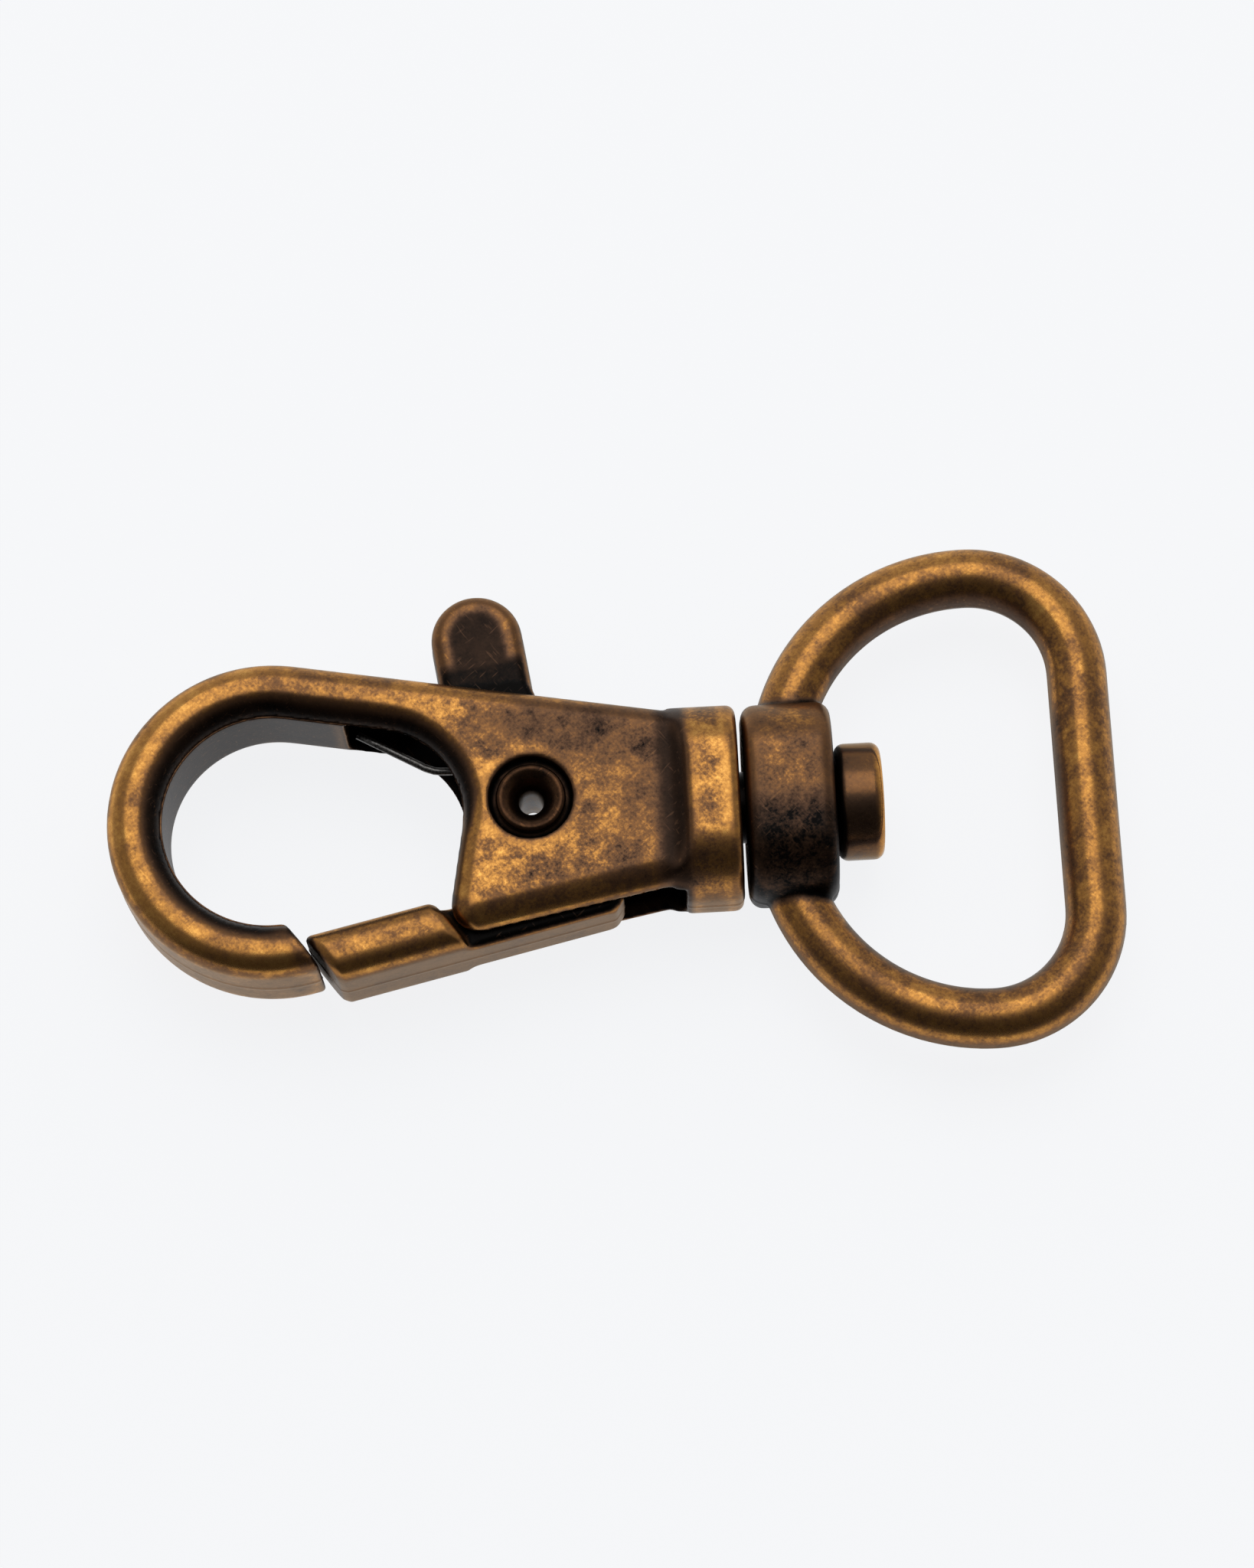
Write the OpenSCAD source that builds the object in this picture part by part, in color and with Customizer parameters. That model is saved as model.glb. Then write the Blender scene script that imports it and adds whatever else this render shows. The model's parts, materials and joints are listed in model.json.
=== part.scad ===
// Swivel snap hook with a strap eye. A sprung one-piece trigger closes the hook, and the eye turns on a pin.
// Millimetres. X runs along the swivel axis from hook to eye, Y towards the thumb tab, Z out of the flat face.
// It is drawn from the collar's end face at X 0, then moved so that the origin is mid-length.

/* [Strap eye] */
// Clear width of the eye, which is the strap it takes
strap_w = 20; // [18:0.5:25]
// Diameter of the eye's round wire
wire_d = 3; // [2.6:0.1:3.4]
// Clear depth from the barrel to the strap bar
eye_depth = 11.2; // [10:0.2:14]
// Corner radius of the eye, on the wire's centre line
eye_corner_r = 5.4; // [4.5:0.1:6.5]

/* [Swivel] */
// Width of the collar and the barrel, across the flat face
collar_w = 10.1; // [9.6:0.1:11]
// Depth of the collar
collar_d = 7.9; // [7.6:0.1:8.6]
// Length of the hook's collar
collar_len = 2.5; // [2:0.1:3.5]
// Length of the eye's barrel
barrel_len = 4.5; // [4:0.1:6]
// Shank diameter of the swivel pin
pin_d = 3.6; // [3.2:0.1:3.8]
// Diameter of the pin's head
head_d = 5.9; // [5.4:0.1:6.4]
// Length of the pin's head
head_len = 2.3; // [1.6:0.1:2.8]
// Play between the collar and the barrel
swivel_gap = 0.25; // [0.15:0.05:0.4]

/* [Hook] */
// Inside radius of the hook's loop
loop_r = 5.35; // [5:0.05:6]
// Width of the hook's band, across the flat face
band_w = 2.75; // [2.6:0.05:3]
// Thickness of the body
body_t = 6.4; // [6:0.1:6.8]
// Rounding of the body's front and back edges
edge_r = 1.15; // [0.9:0.05:1.15]
// Distance from the collar's end face to the loop's centre
reach = 23.5; // [22.5:0.1:26]
// Distance from the collar's end face to the end of the hook's opening
throat = 13.85; // [13.4:0.05:14.2]
// Radius at the end of the hook's opening
throat_r = 4.55; // [4.2:0.05:4.8]

/* [Trigger] */
// Width of the slot between the cheeks
slot_w = 4.2; // [3.9:0.1:4.3]
// Width of the thumb tab
tab_w = 4.6; // [4:0.1:5]
// Height of the thumb tab's tip above the swivel axis
tab_top = 11.4; // [10.8:0.1:12.5]
// Distance from the collar's end face to the pivot
pivot_back = 10.4; // [10:0.1:10.8]
// Opening swing of the trigger, in degrees
swing = 26; // [18:1:28]

/* [Rivet and spring] */
// Outside diameter of the rivet's tube
rivet_d = 3; // [2.7:0.1:3.1]
// Bore of the rivet
rivet_bore = 2; // [1.6:0.1:2.1]
// Diameter of the counterbores for the rivet's rims
sink_d = 4.2; // [4:0.1:4.6]
// Wire diameter of the torsion spring
spring_wire = 0.4; // [0.35:0.05:0.4]
// Whole curls of the spring, besides the half curl between its legs
spring_curls = 2; // [1:1:2]

/* [Hidden] */
$fn = 64;
brass = [0.55, 0.40, 0.20];
steel = [0.55, 0.56, 0.58];

// Points and lines in the plane of the flat face; a line is a point and an angle
function along(p, a, d) = p + d * [cos(a), sin(a)];
function cross2(u, v) = u[0] * v[1] - u[1] * v[0];
function meet(p, a, q, b) = along(p, a, cross2(q - p, [cos(b), sin(b)]) / sin(b - a));
function turned(p, c, a) = c + [
    (p - c)[0] * cos(a) - (p - c)[1] * sin(a),
    (p - c)[0] * sin(a) + (p - c)[1] * cos(a)];
// Points of an arc about c
function arc(c, r, from, to) = [for (u = [0:0.05:1.001]) along(c, from + (to - from) * u, r)];
// Fall of the line that leaves the loop as a tangent and passes the collar at half width neck
function fall_to(neck) = asin(outer_r / norm([reach - collar_len, neck])) - atan2(neck, reach - collar_len);

// Hook outline: the loop runs on into a straight spine, then down a round throat to the nose.
// They are drawn level, spine along X from the loop's centre, then turned down by top_fall.
half_band = band_w / 2;
crest = 0.6 * (half_band - edge_r);
neck_step = 0.6;
neck_drop = 0.15;
rail_w = edge_r + crest;
outer_r = loop_r + band_w;
loop_c = [-reach, 0];
neck_top = collar_w / 2 - neck_step;
neck_low = neck_top - neck_drop;
top_fall = fall_to(neck_top);
low_fall = fall_to(neck_low);
throat_y = loop_r - throat_r;
spine_run = reach - throat - throat_r - throat_y * sin(top_fall);
spine_len = round(1000 * spine_run / cos(top_fall)) / 1000;
nose_x = spine_len + throat_r;
top_point = [-collar_len, neck_top];
low_point = [-collar_len, -neck_low];
// A point of the level drawing where it ends up
function placed(p) = turned(loop_c + p, loop_c, -top_fall);

// The nose is rounded by flats that touch a circle
nose_r = half_band;
nose_c = meet(placed([nose_x + nose_r, 0]), 90 - top_fall,
    along(low_point, 90 + low_fall, nose_r), low_fall);
nose_turn = 90 + low_fall + top_fall;
nose_flats = [for (k = [1:4]) 180 - top_fall + nose_turn * k / 4];

// Gate: its slanted ends face the hook's tip and the nose
slant = -54;
tip_at = -77;
tip_spare = 14;
tip_p = along(loop_c, tip_at, loop_r + half_band);
gate_gap = 0.3;
gate_fall = 12.4;
gate_drop = 0.68;
gate_edge_r = edge_r;
gate_p = nose_c - [0, nose_r + gate_drop];
gate_front = along(tip_p, slant + 90, gate_gap);
gate_back = along(nose_c, slant - 90, nose_r + gate_gap);
gate_span = (gate_back - gate_front) * [cos(slant + 90), sin(slant + 90)];
rib_back = 4.5;
rib_end = 1.5;
rib_bevel = 0.55;
web_lap = 1.2;
web_in = 0.4;
// A point of the gate at x, and up from its lower face
function on_gate(x, up) = along([x, gate_p[1] + (x - gate_p[0]) * tan(gate_fall)], 90 + gate_fall, up);

// Lever
pivot = [-pivot_back, 0.25];
side_gap = 0.15;
web_t = slot_w - 2 * side_gap;
hub_r = 3.2;
tab_r = tab_w / 2;
tab_lean = 8;
tab_back = 2.4;
tab_c = [pivot[0] - tab_back, tab_top - tab_r];
tab_len = 3.6;
tab_lap = 0.6;
tab_edge_r = 0.7;
turn_gap = 0.08;
// A point of the tab, down from its round end and across from its middle
function on_tab(down, across) = along(along(tab_c, tab_lean - 90, down), tab_lean, across);

// Slot
roof = 1.25;
slot_start = 3.9;
slot_wall = 0.4;
slot_room = 0.8;
swing_room = 0.5;
slot_end = -reach + slot_start;
slot_back = -collar_len - slot_wall;
slot_top_left = on_tab(0, -tab_r)[0] - slot_room;
tab_open = turned(on_tab(0, tab_r), pivot, -swing);
slot_top_right = meet(tab_open, 90 + tab_lean - swing, top_point, -top_fall)[0] + swing_room;

// Collar, ramp, barrel and pin
collar_r = 3.2;
collar_edge_r = 0.45;
ramp_r = 1.15;
ramp_sink = 0.01;
barrel_edge_r = 0.7;
barrel_x = swivel_gap;
barrel_step = 0.25;
barrel_d = collar_d - 2 * barrel_step;
head_gap = 0.1;
head_x = barrel_x + barrel_len + head_gap;
head_edge_r = 0.5;
pin_gap = 0.07;
tail_d = pin_d + 1.1;
tail_len = 0.8;
tail_room = 0.2;
hold_gap = 0.02;

// Strap eye
wire_r = wire_d / 2;
bar_x = barrel_x + barrel_len + eye_depth + wire_r;
eye_half = strap_w / 2 + wire_r;
corner_c = [bar_x - eye_corner_r, eye_half - eye_corner_r];
arm_back = 0.4;
arm_sink = 1.2;
arm_r = corner_c[0] - barrel_x - barrel_len / 2 + arm_back;
arm_c = [corner_c[0], eye_half - arm_r];
arm_sweep = acos((collar_w / 2 - arm_sink - arm_c[1]) / arm_r);

// Rivet
sink_depth = 0.55;
rim_w = 0.25;
rim_d = rivet_d + 2 * rim_w;
rim_t = 0.22;
rim_r = 0.25;
rim_in = 0.325;
rim_z = body_t / 2 - sink_depth + hold_gap;

// Spring: two legs to the left of the coil, one under the spine and one on the lever's rib
spring_gap = 0.42;
spring_play = 0.3;
coil_play = 0.33;
spring_pitch = spring_wire + spring_gap;
coil_r = rivet_d / 2 + coil_play + spring_wire / 2;
coil_turns = spring_curls + 0.5;
coil_rise = coil_turns * spring_pitch;
coil_room_r = coil_r + spring_wire / 2 + spring_play;
spring_room = coil_rise + spring_wire + spring_play;
leg_top = pivot + [0, coil_r];
leg_knee = leg_top + [-4.9, 0.15];
leg_tip = [slot_end + 0.6, leg_knee[1] + 2.1];
leg_foot = pivot + [-3.6, -coil_r];
rings_per_curl = 8;
wire_sides = 6;

// The origin lies mid-length on the swivel axis
shift = (reach + outer_r - bar_x - wire_r) / 2;

module round_rect(w, h, r) {
    square([w - 2 * r, h], center = true);
    square([w, h - 2 * r], center = true);
    for (x = [-1, 1], y = [-1, 1])
        translate([x * (w / 2 - r), y * (h / 2 - r)])
            circle(r);
}

// A profile from 0 to w, len long, with both of its outer corners rounded
module rim_profile(w, len, r) {
    square([w - r, len]);
    translate([0, r])
        square([w, len - 2 * r]);
    for (y = [r, len - r])
        translate([w - r, y])
            circle(r);
}

// Section of a rounded edge that faces X, w deep
module rail(w) {
    translate([-w, -body_t / 2])
        intersection() {
            square([w, body_t]);
            translate([-body_t, 0])
                rim_profile(w + body_t, body_t, edge_r);
        }
}

// The loop and the part of the spine above the opening, both of the band's full section
module loop() {
    rotate([0, 0, 90])
        rotate_extrude(angle = 270 + tip_at + tip_spare + top_fall)
            translate([loop_r + half_band, 0])
                round_rect(band_w, body_t, edge_r);
    translate([0, loop_r + half_band, 0])
        rotate([90, 0, 90])
            linear_extrude(spine_len)
                round_rect(band_w, body_t, edge_r);
}

// The upper part of the cheeks: rounded top edge and throat, and the flat that fills the cheeks
module upper_cheek() {
    inset = edge_r + crest / 2;
    round_c = turned(nose_c, loop_c, top_fall) - loop_c;
    translate([spine_len, outer_r, 0])
        rotate([90, 0, 90])
            linear_extrude(reach)
                rail(rail_w);
    translate([spine_len, throat_y, 0])
        rotate_extrude(angle = 90)
            translate([throat_r, 0])
                mirror([1, 0])
                    rail(rail_w);
    linear_extrude(body_t, center = true)
        polygon(concat(
            [along(round_c, top_fall + low_fall, reach), round_c],
            arc([spine_len, throat_y], throat_r + inset, 0, 90),
            [[spine_len, outer_r - inset], [spine_len + reach, outer_r - inset]]));
}

// Everything on the inner side of a rounded edge through p that faces a
module inside(p, a) {
    translate([p[0], p[1], 0])
        rotate([90, 0, a])
            linear_extrude(4 * reach, center = true)
                rail(2 * reach);
}

// The lower part of the cheeks, down to the nose and the lower edge
module lower_cheek() {
    intersection() {
        translate([loop_c[0], loop_c[1], 0])
            rotate([0, 0, -top_fall])
                translate([nose_x, throat_y, 0])
                    rotate([90, 0, 180])
                        translate([0, 0, -2 * reach])
                            linear_extrude(2 * reach)
                                rail(reach);
        intersection_for (a = nose_flats)
            inside(along(nose_c, a, nose_r), a);
    }
}

module band() {
    translate([loop_c[0], loop_c[1], 0])
        rotate([0, 0, -top_fall])
            loop();
    intersection() {
        union() {
            translate([loop_c[0], loop_c[1], 0])
                rotate([0, 0, -top_fall])
                    upper_cheek();
            lower_cheek();
        }
        translate([-2 * reach - collar_len / 2, -reach, -body_t])
            cube([2 * reach, 2 * reach, 2 * body_t]);
    }
}

// The collar's or the barrel's body along X, with its end edges rounded
module rounded_slab(len, depth, edge) {
    flat_y = collar_w / 2 - collar_r;
    flat_z = depth / 2 - collar_r;
    rotate([90, 0, 90]) {
        for (side = [0:3]) {
            out = side % 2 == 0 ? flat_y : flat_z;
            across = side % 2 == 0 ? flat_z : flat_y;
            rotate([0, 0, 90 * side])
                translate([out, across, 0]) {
                    rotate_extrude(angle = 90)
                        rim_profile(collar_r, len, edge);
                    rotate([90, 0, 0])
                        linear_extrude(2 * across)
                            rim_profile(collar_r, len, edge);
                }
        }
        translate([-flat_y, -flat_z, 0])
            cube([2 * flat_y, 2 * flat_z, len]);
    }
}

// Hollow ramps that lead the flat faces up to the collar
module ramps() {
    ramp_x = -collar_len - ramp_r;
    intersection() {
        translate([ramp_x - ramp_r, 0, 0])
            rotate([90, 0, 90])
                linear_extrude(2 * ramp_r + collar_len / 2)
                    round_rect(collar_w, collar_d, collar_r);
        for (s = [0, 1])
            mirror([0, 0, s])
                rotate([90, 0, 0])
                    linear_extrude(collar_w, center = true)
                        polygon(concat(
                            [[-collar_len / 2, 0], [ramp_x + ramp_r / 4, 0]],
                            arc([ramp_x, body_t / 2 + ramp_r], ramp_r + ramp_sink, -85, 0),
                            [[-collar_len / 2, body_t / 2 + ramp_r]]));
    }
}

// Cuts the loop's end to the slanted face that the gate meets
module tip_cut() {
    translate([tip_p[0], tip_p[1], -body_t])
        rotate([0, 0, slant])
            translate([-outer_r, 0, 0])
                cube([2 * outer_r, 2 * band_w, 2 * body_t]);
}

module slot() {
    under_roof = along(top_point, 270 - top_fall, roof);
    clear_y = outer_r + band_w;
    linear_extrude(slot_w, center = true) {
        polygon([
            [slot_end, -clear_y],
            meet(under_roof, -top_fall, [slot_end, 0], 90),
            meet(under_roof, -top_fall, [slot_back, 0], 90),
            [slot_back, -clear_y]]);
        translate([slot_top_left, 0])
            square([slot_top_right - slot_top_left, clear_y]);
    }
}

module rivet_seat() {
    translate([pivot[0], pivot[1], 0]) {
        cylinder(h = 2 * body_t, d = rivet_d + 2 * hold_gap, center = true);
        for (s = [0, 1])
            mirror([0, 0, s])
                translate([0, 0, body_t / 2 - sink_depth])
                    cylinder(h = body_t, d = sink_d);
    }
}

module pin_seat() {
    translate([slot_back - tail_len, 0, 0])
        rotate([0, 90, 0])
            cylinder(h = reach, d = pin_d + 2 * hold_gap);
    translate([slot_back - tail_len - tail_room, 0, 0])
        rotate([0, 90, 0])
            cylinder(h = tail_len + tail_room, d = tail_d + 2 * tail_room);
}

module hook_body() {
    color(brass)
        translate([shift, 0, 0])
            difference() {
                union() {
                    band();
                    ramps();
                    translate([-collar_len, 0, 0])
                        rounded_slab(collar_len, collar_d, collar_edge_r);
                }
                tip_cut();
                slot();
                rivet_seat();
                pin_seat();
            }
}

// The full-thickness gate bar, between its two slanted ends
module gate_bar() {
    bar_p = on_gate(loop_c[0], half_band);
    intersection() {
        translate([bar_p[0], bar_p[1], 0])
            rotate([90, 0, 90 + gate_fall])
                linear_extrude(reach)
                    round_rect(band_w, body_t, gate_edge_r);
        translate([gate_front[0], gate_front[1], -body_t])
            rotate([0, 0, slant])
                translate([-outer_r, 0, 0])
                    cube([2 * outer_r, gate_span, 2 * body_t]);
    }
}

// The lever's flat web in the slot: rib, hub and arm
module web() {
    root_x = gate_back[0] - web_lap;
    rib_x = pivot[0] + rib_back;
    inset = 0.05;
    linear_extrude(web_t, center = true) {
        translate(pivot)
            circle(hub_r);
        polygon([
            on_gate(root_x, band_w - web_in),
            on_gate(root_x, 0),
            on_gate(rib_x - rib_bevel, 0),
            on_gate(rib_x, rib_bevel),
            on_gate(rib_x, rib_end),
            along(pivot, -20, hub_r),
            on_tab(tab_len - tab_lap, tab_r - inset),
            on_tab(tab_len - tab_lap, inset - tab_r),
            along(pivot, 165, hub_r - inset),
            along(pivot, 200, hub_r - inset),
            on_gate(nose_c[0] + web_lap, band_w - web_in)]);
    }
}

module tab() {
    translate([tab_c[0], tab_c[1], 0]) {
        rotate([0, 0, tab_lean])
            rotate_extrude(angle = 180)
                translate([0, -web_t / 2])
                    rim_profile(tab_r, web_t, tab_edge_r);
        rotate([90, 0, tab_lean])
            linear_extrude(tab_len)
                round_rect(tab_w, web_t, tab_edge_r);
    }
}

// Room for the coil about the pivot and for its two legs
module spring_cavity() {
    leg_gap = 0.05;
    leg_rise = 0.6;
    leg_y = coil_r + spring_wire / 2 + leg_gap;
    translate([pivot[0], pivot[1], 0])
        linear_extrude(spring_room, center = true) {
            circle(coil_room_r);
            polygon([
                [0, coil_room_r - leg_gap / 2],
                [-2 * hub_r, coil_room_r + leg_rise],
                [-2 * hub_r, -leg_y],
                [0, -leg_y]]);
        }
}

module trigger_gate() {
    color(brass)
        translate([shift, 0, 0])
            difference() {
                union() {
                    web();
                    gate_bar();
                    tab();
                }
                spring_cavity();
                translate([pivot[0], pivot[1], 0])
                    cylinder(h = 2 * body_t, d = rivet_d + 2 * turn_gap, center = true);
            }
}

// The spring's centre line: lower leg, coil from bottom to top, upper leg with its knee
function at_z(p, z) = [p[0], p[1], z];
coil_steps = coil_turns * rings_per_curl;
coil_path = [for (i = [0:coil_steps])
    let (a = -90 + 360 * i / rings_per_curl)
    at_z(along(pivot, a, coil_r), coil_rise * (i / coil_steps - 0.5))];
knee_path = [for (u = [0.25:0.25:1])
    at_z(leg_top + (leg_knee - leg_top) * u, coil_rise / 2)];
foot_path = [for (u = [1:-0.25:0.25])
    at_z(leg_foot * u + (pivot - [0, coil_r]) * (1 - u), -coil_rise / 2)];
tip_path = [for (u = [0.25:0.25:1])
    at_z(leg_knee + (leg_tip - leg_knee) * u, coil_rise / 2)];
spring_path = concat(foot_path, coil_path, knee_path, tip_path);

function unit(v) = v / norm(v);
function heading(path, i) = unit(path[min(i + 1, len(path) - 1)] - path[max(i - 1, 0)]);
function ring(path, i, r) = let (t = heading(path, i), s = unit(cross(t, [0, 0, 1])), u = cross(s, t))
    [for (k = [0:wire_sides - 1]) let (a = 360 * k / wire_sides) path[i] + r * (cos(a) * s + sin(a) * u)];
// Least gap between wire surfaces more than half a curl apart along the path
spring_least = min([for (i = [0:len(spring_path) - 1], j = [i + 5:1:len(spring_path) - 1])
    norm(spring_path[i] - spring_path[j])]) - spring_wire;

module gate_spring() {
    echo(spring_least_gap = spring_least);
    n = len(spring_path);
    w = wire_sides;
    points = [for (i = [0:n - 1]) each ring(spring_path, i, spring_wire / 2)];
    last = (n - 1) * w;
    walls = [for (i = [0:w:last - w], k = [0:w - 1]) let (m = (k + 1) % w)
        each [[i + k, i + m, i + w + m], [i + k, i + w + m, i + w + k]]];
    caps = [for (k = [1:w - 2]) each [[0, k + 1, k], [last, last + k, last + k + 1]]];
    color(steel)
        translate([shift, 0, 0])
            polyhedron(points, concat(walls, caps));
}

module pivot_rivet() {
    color(brass)
        translate([shift + pivot[0], pivot[1], 0])
            rotate_extrude()
                for (s = [0, 1])
                    mirror([0, s]) {
                        translate([rivet_bore / 2, 0])
                            square([(rivet_d - rivet_bore) / 2, rim_z + rim_t]);
                        translate([rivet_bore / 2, rim_z])
                            square([(rim_d - rivet_bore) / 2, rim_t]);
                        translate([rim_d / 2 - rim_in, rim_z + rim_t])
                            circle(rim_r);
                    }
}

module swivel_pin() {
    tail_x = slot_back - hold_gap - tail_len;
    color(brass)
        translate([shift, 0, 0])
            rotate([0, 90, 0])
                rotate_extrude() {
                    translate([0, head_x])
                        rim_profile(head_d / 2, head_len, head_edge_r);
                    translate([0, tail_x])
                        square([pin_d / 2, head_x - tail_x + head_edge_r]);
                    translate([0, tail_x])
                        square([tail_d / 2, tail_len]);
                }
}

module swivel_eye() {
    color(brass)
        translate([shift, 0, 0])
            difference() {
                union() {
                    translate([barrel_x, 0, 0])
                        rounded_slab(barrel_len, barrel_d, barrel_edge_r);
                    translate([bar_x, 0, 0])
                        rotate([90, 0, 0])
                            cylinder(h = 2 * corner_c[1], r = wire_r, center = true);
                    for (s = [0, 1])
                        mirror([0, s, 0]) {
                            translate([corner_c[0], corner_c[1], 0])
                                rotate_extrude(angle = 90)
                                    translate([eye_corner_r, 0])
                                        circle(wire_r);
                            translate([arm_c[0], arm_c[1], 0])
                                rotate([0, 0, 90])
                                    rotate_extrude(angle = arm_sweep)
                                        translate([arm_r, 0])
                                            circle(wire_r);
                        }
                }
                rotate([0, 90, 0])
                    cylinder(h = 4 * barrel_len, d = pin_d + 2 * pin_gap, center = true);
            }
}

hook_body();
trigger_gate();
gate_spring();
pivot_rivet();
swivel_pin();
swivel_eye();
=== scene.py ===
"""Swivel snap hook in antique brass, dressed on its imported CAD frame.

The castings are the CAD solids with their edges melted as a plated die casting has them. The pin, the
rivet and the torsion spring are turned and drawn afresh. Modelling is done in millimetres, and each finished
mesh is brought to metres in the frame's own place.
"""

import json
import logging
import math
from dataclasses import dataclass
from enum import Enum

import bpy
import numpy as np
from mathutils import Matrix, Vector
from mathutils.kdtree import KDTree

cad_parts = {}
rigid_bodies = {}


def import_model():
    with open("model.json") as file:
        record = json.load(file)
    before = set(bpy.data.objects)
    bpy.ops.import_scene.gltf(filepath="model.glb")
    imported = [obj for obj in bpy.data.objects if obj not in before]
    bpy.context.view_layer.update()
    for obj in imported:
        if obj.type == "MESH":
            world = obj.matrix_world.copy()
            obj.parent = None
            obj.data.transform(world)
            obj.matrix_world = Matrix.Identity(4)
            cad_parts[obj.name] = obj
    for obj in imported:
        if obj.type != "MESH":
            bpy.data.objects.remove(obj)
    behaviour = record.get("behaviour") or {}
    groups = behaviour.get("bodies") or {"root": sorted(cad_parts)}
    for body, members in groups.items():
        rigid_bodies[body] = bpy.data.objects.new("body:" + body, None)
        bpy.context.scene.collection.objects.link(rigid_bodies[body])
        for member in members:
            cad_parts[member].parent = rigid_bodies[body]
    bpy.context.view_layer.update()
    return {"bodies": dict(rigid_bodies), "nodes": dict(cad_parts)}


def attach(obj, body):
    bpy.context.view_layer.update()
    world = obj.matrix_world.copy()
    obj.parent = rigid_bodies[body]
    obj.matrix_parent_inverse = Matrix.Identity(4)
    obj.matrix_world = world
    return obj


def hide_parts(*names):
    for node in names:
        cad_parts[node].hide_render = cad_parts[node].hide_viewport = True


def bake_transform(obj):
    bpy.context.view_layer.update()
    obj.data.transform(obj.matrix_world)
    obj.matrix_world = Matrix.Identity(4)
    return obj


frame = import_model()

LOG = logging.getLogger("snap_hook")
Span = tuple[float, float]
Band = tuple[float, float, float, float]
MM = 0.001
WELD_MM = 1e-4
TINY = 1e-9

# Each mesh's own attributes: how dark a point is, from blackening together with painted shade and painted
# highlights, and how mottled it is
PATINA_AND_PAINTED_LIGHT = "patina"
GRAIN = "grain"

# The rivet's axis, the cheeks' outer and inner faces and the floor, in millimetres as in the part's source
PIVOT = (-4.075, 0.25)
BODY_HALF = 3.2
SLOT_HALF = 2.1
FLOOR_Z = -3.95


class Body(Enum):
    """The frame's bodies that a piece can ride on."""

    HOOK = "hook"
    TRIGGER = "trigger"
    EYE = "eye"


class Slot(Enum):
    """The record's material slots."""

    BRASS = "antique_brass"
    PIN = "pin_brass"
    STEEL = "spring_steel"


def linear(hex_code: str) -> tuple[float, float, float, float]:
    """Turns an sRGB hex colour to linear light.

    Args:
        hex_code: Six hex digits, with or without a leading hash.

    Returns:
        Red, green, blue and an alpha of 1.
    """
    parts = [int(hex_code.lstrip("#")[i:i + 2], 16) / 255 for i in (0, 2, 4)]
    light = [c / 12.92 if c <= 0.04045 else ((c + 0.055) / 1.055) ** 2.4 for c in parts]
    return (*light, 1.0)


def per_metre(size_mm: float) -> float:
    """Gives the texture scale whose features are about size_mm across."""
    return 1 / (size_mm * MM)


def smoothstep(low: float, high: float, value: np.ndarray) -> np.ndarray:
    """Rises smoothly from 0 at low to 1 at high."""
    t = np.clip((value - low) / (high - low), 0, 1)
    return t * t * (3 - 2 * t)


def band(edges: Band, value: np.ndarray) -> np.ndarray:
    """Rises from 0 to 1 over the first two edges and falls again over the last two."""
    start, full, fade, stop = edges
    return smoothstep(start, full, value) * smoothstep(stop, fade, value)


def add(
    tree: bpy.types.NodeTree,
    kind: str,
    settings: dict[str | int, object] | None = None,
    links: dict[str | int, bpy.types.NodeSocket] | None = None,
) -> bpy.types.Node:
    """Adds a node with its settings and links.

    Args:
        tree: The node tree.
        kind: The node's type name after ShaderNode.
        settings: Values by input name or number, or by the node's own property name. A colour ramp's places
            and hex colours go by "stops".
        links: Output sockets by input name or number.

    Returns:
        The new node.
    """
    node = tree.nodes.new("ShaderNode" + kind)
    for key, value in (settings or {}).items():
        if key == "stops":
            elements = node.color_ramp.elements
            while len(elements) < len(value):
                elements.new(0.5)
            for element, (place, hex_code) in zip(elements, value):
                element.position = place
                element.color = linear(hex_code)
        elif isinstance(key, str) and hasattr(node, key):
            setattr(node, key, value)
        else:
            node.inputs[key].default_value = value
    for key, source in (links or {}).items():
        tree.links.new(source, node.inputs[key])
    return node


def blank_material(name: str) -> bpy.types.Material:
    """Makes a material with an empty node tree.

    Args:
        name: The finish's name.

    Returns:
        The new material.
    """
    made = bpy.data.materials.new(name)
    made.use_nodes = True
    made.node_tree.nodes.clear()
    return made


@dataclass(frozen=True)
class Layer:
    """One layer of a patina's mottling."""

    # The features' width, their octaves with the finer ones' share, and how far the layer sways the tone
    size_mm: float
    detail: float
    rough: float
    sway: float
    # For marks across the flat faces: their angle in radians, and how many times as long as wide they are
    turn: float = 0.0
    run: float = 1.0


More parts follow.
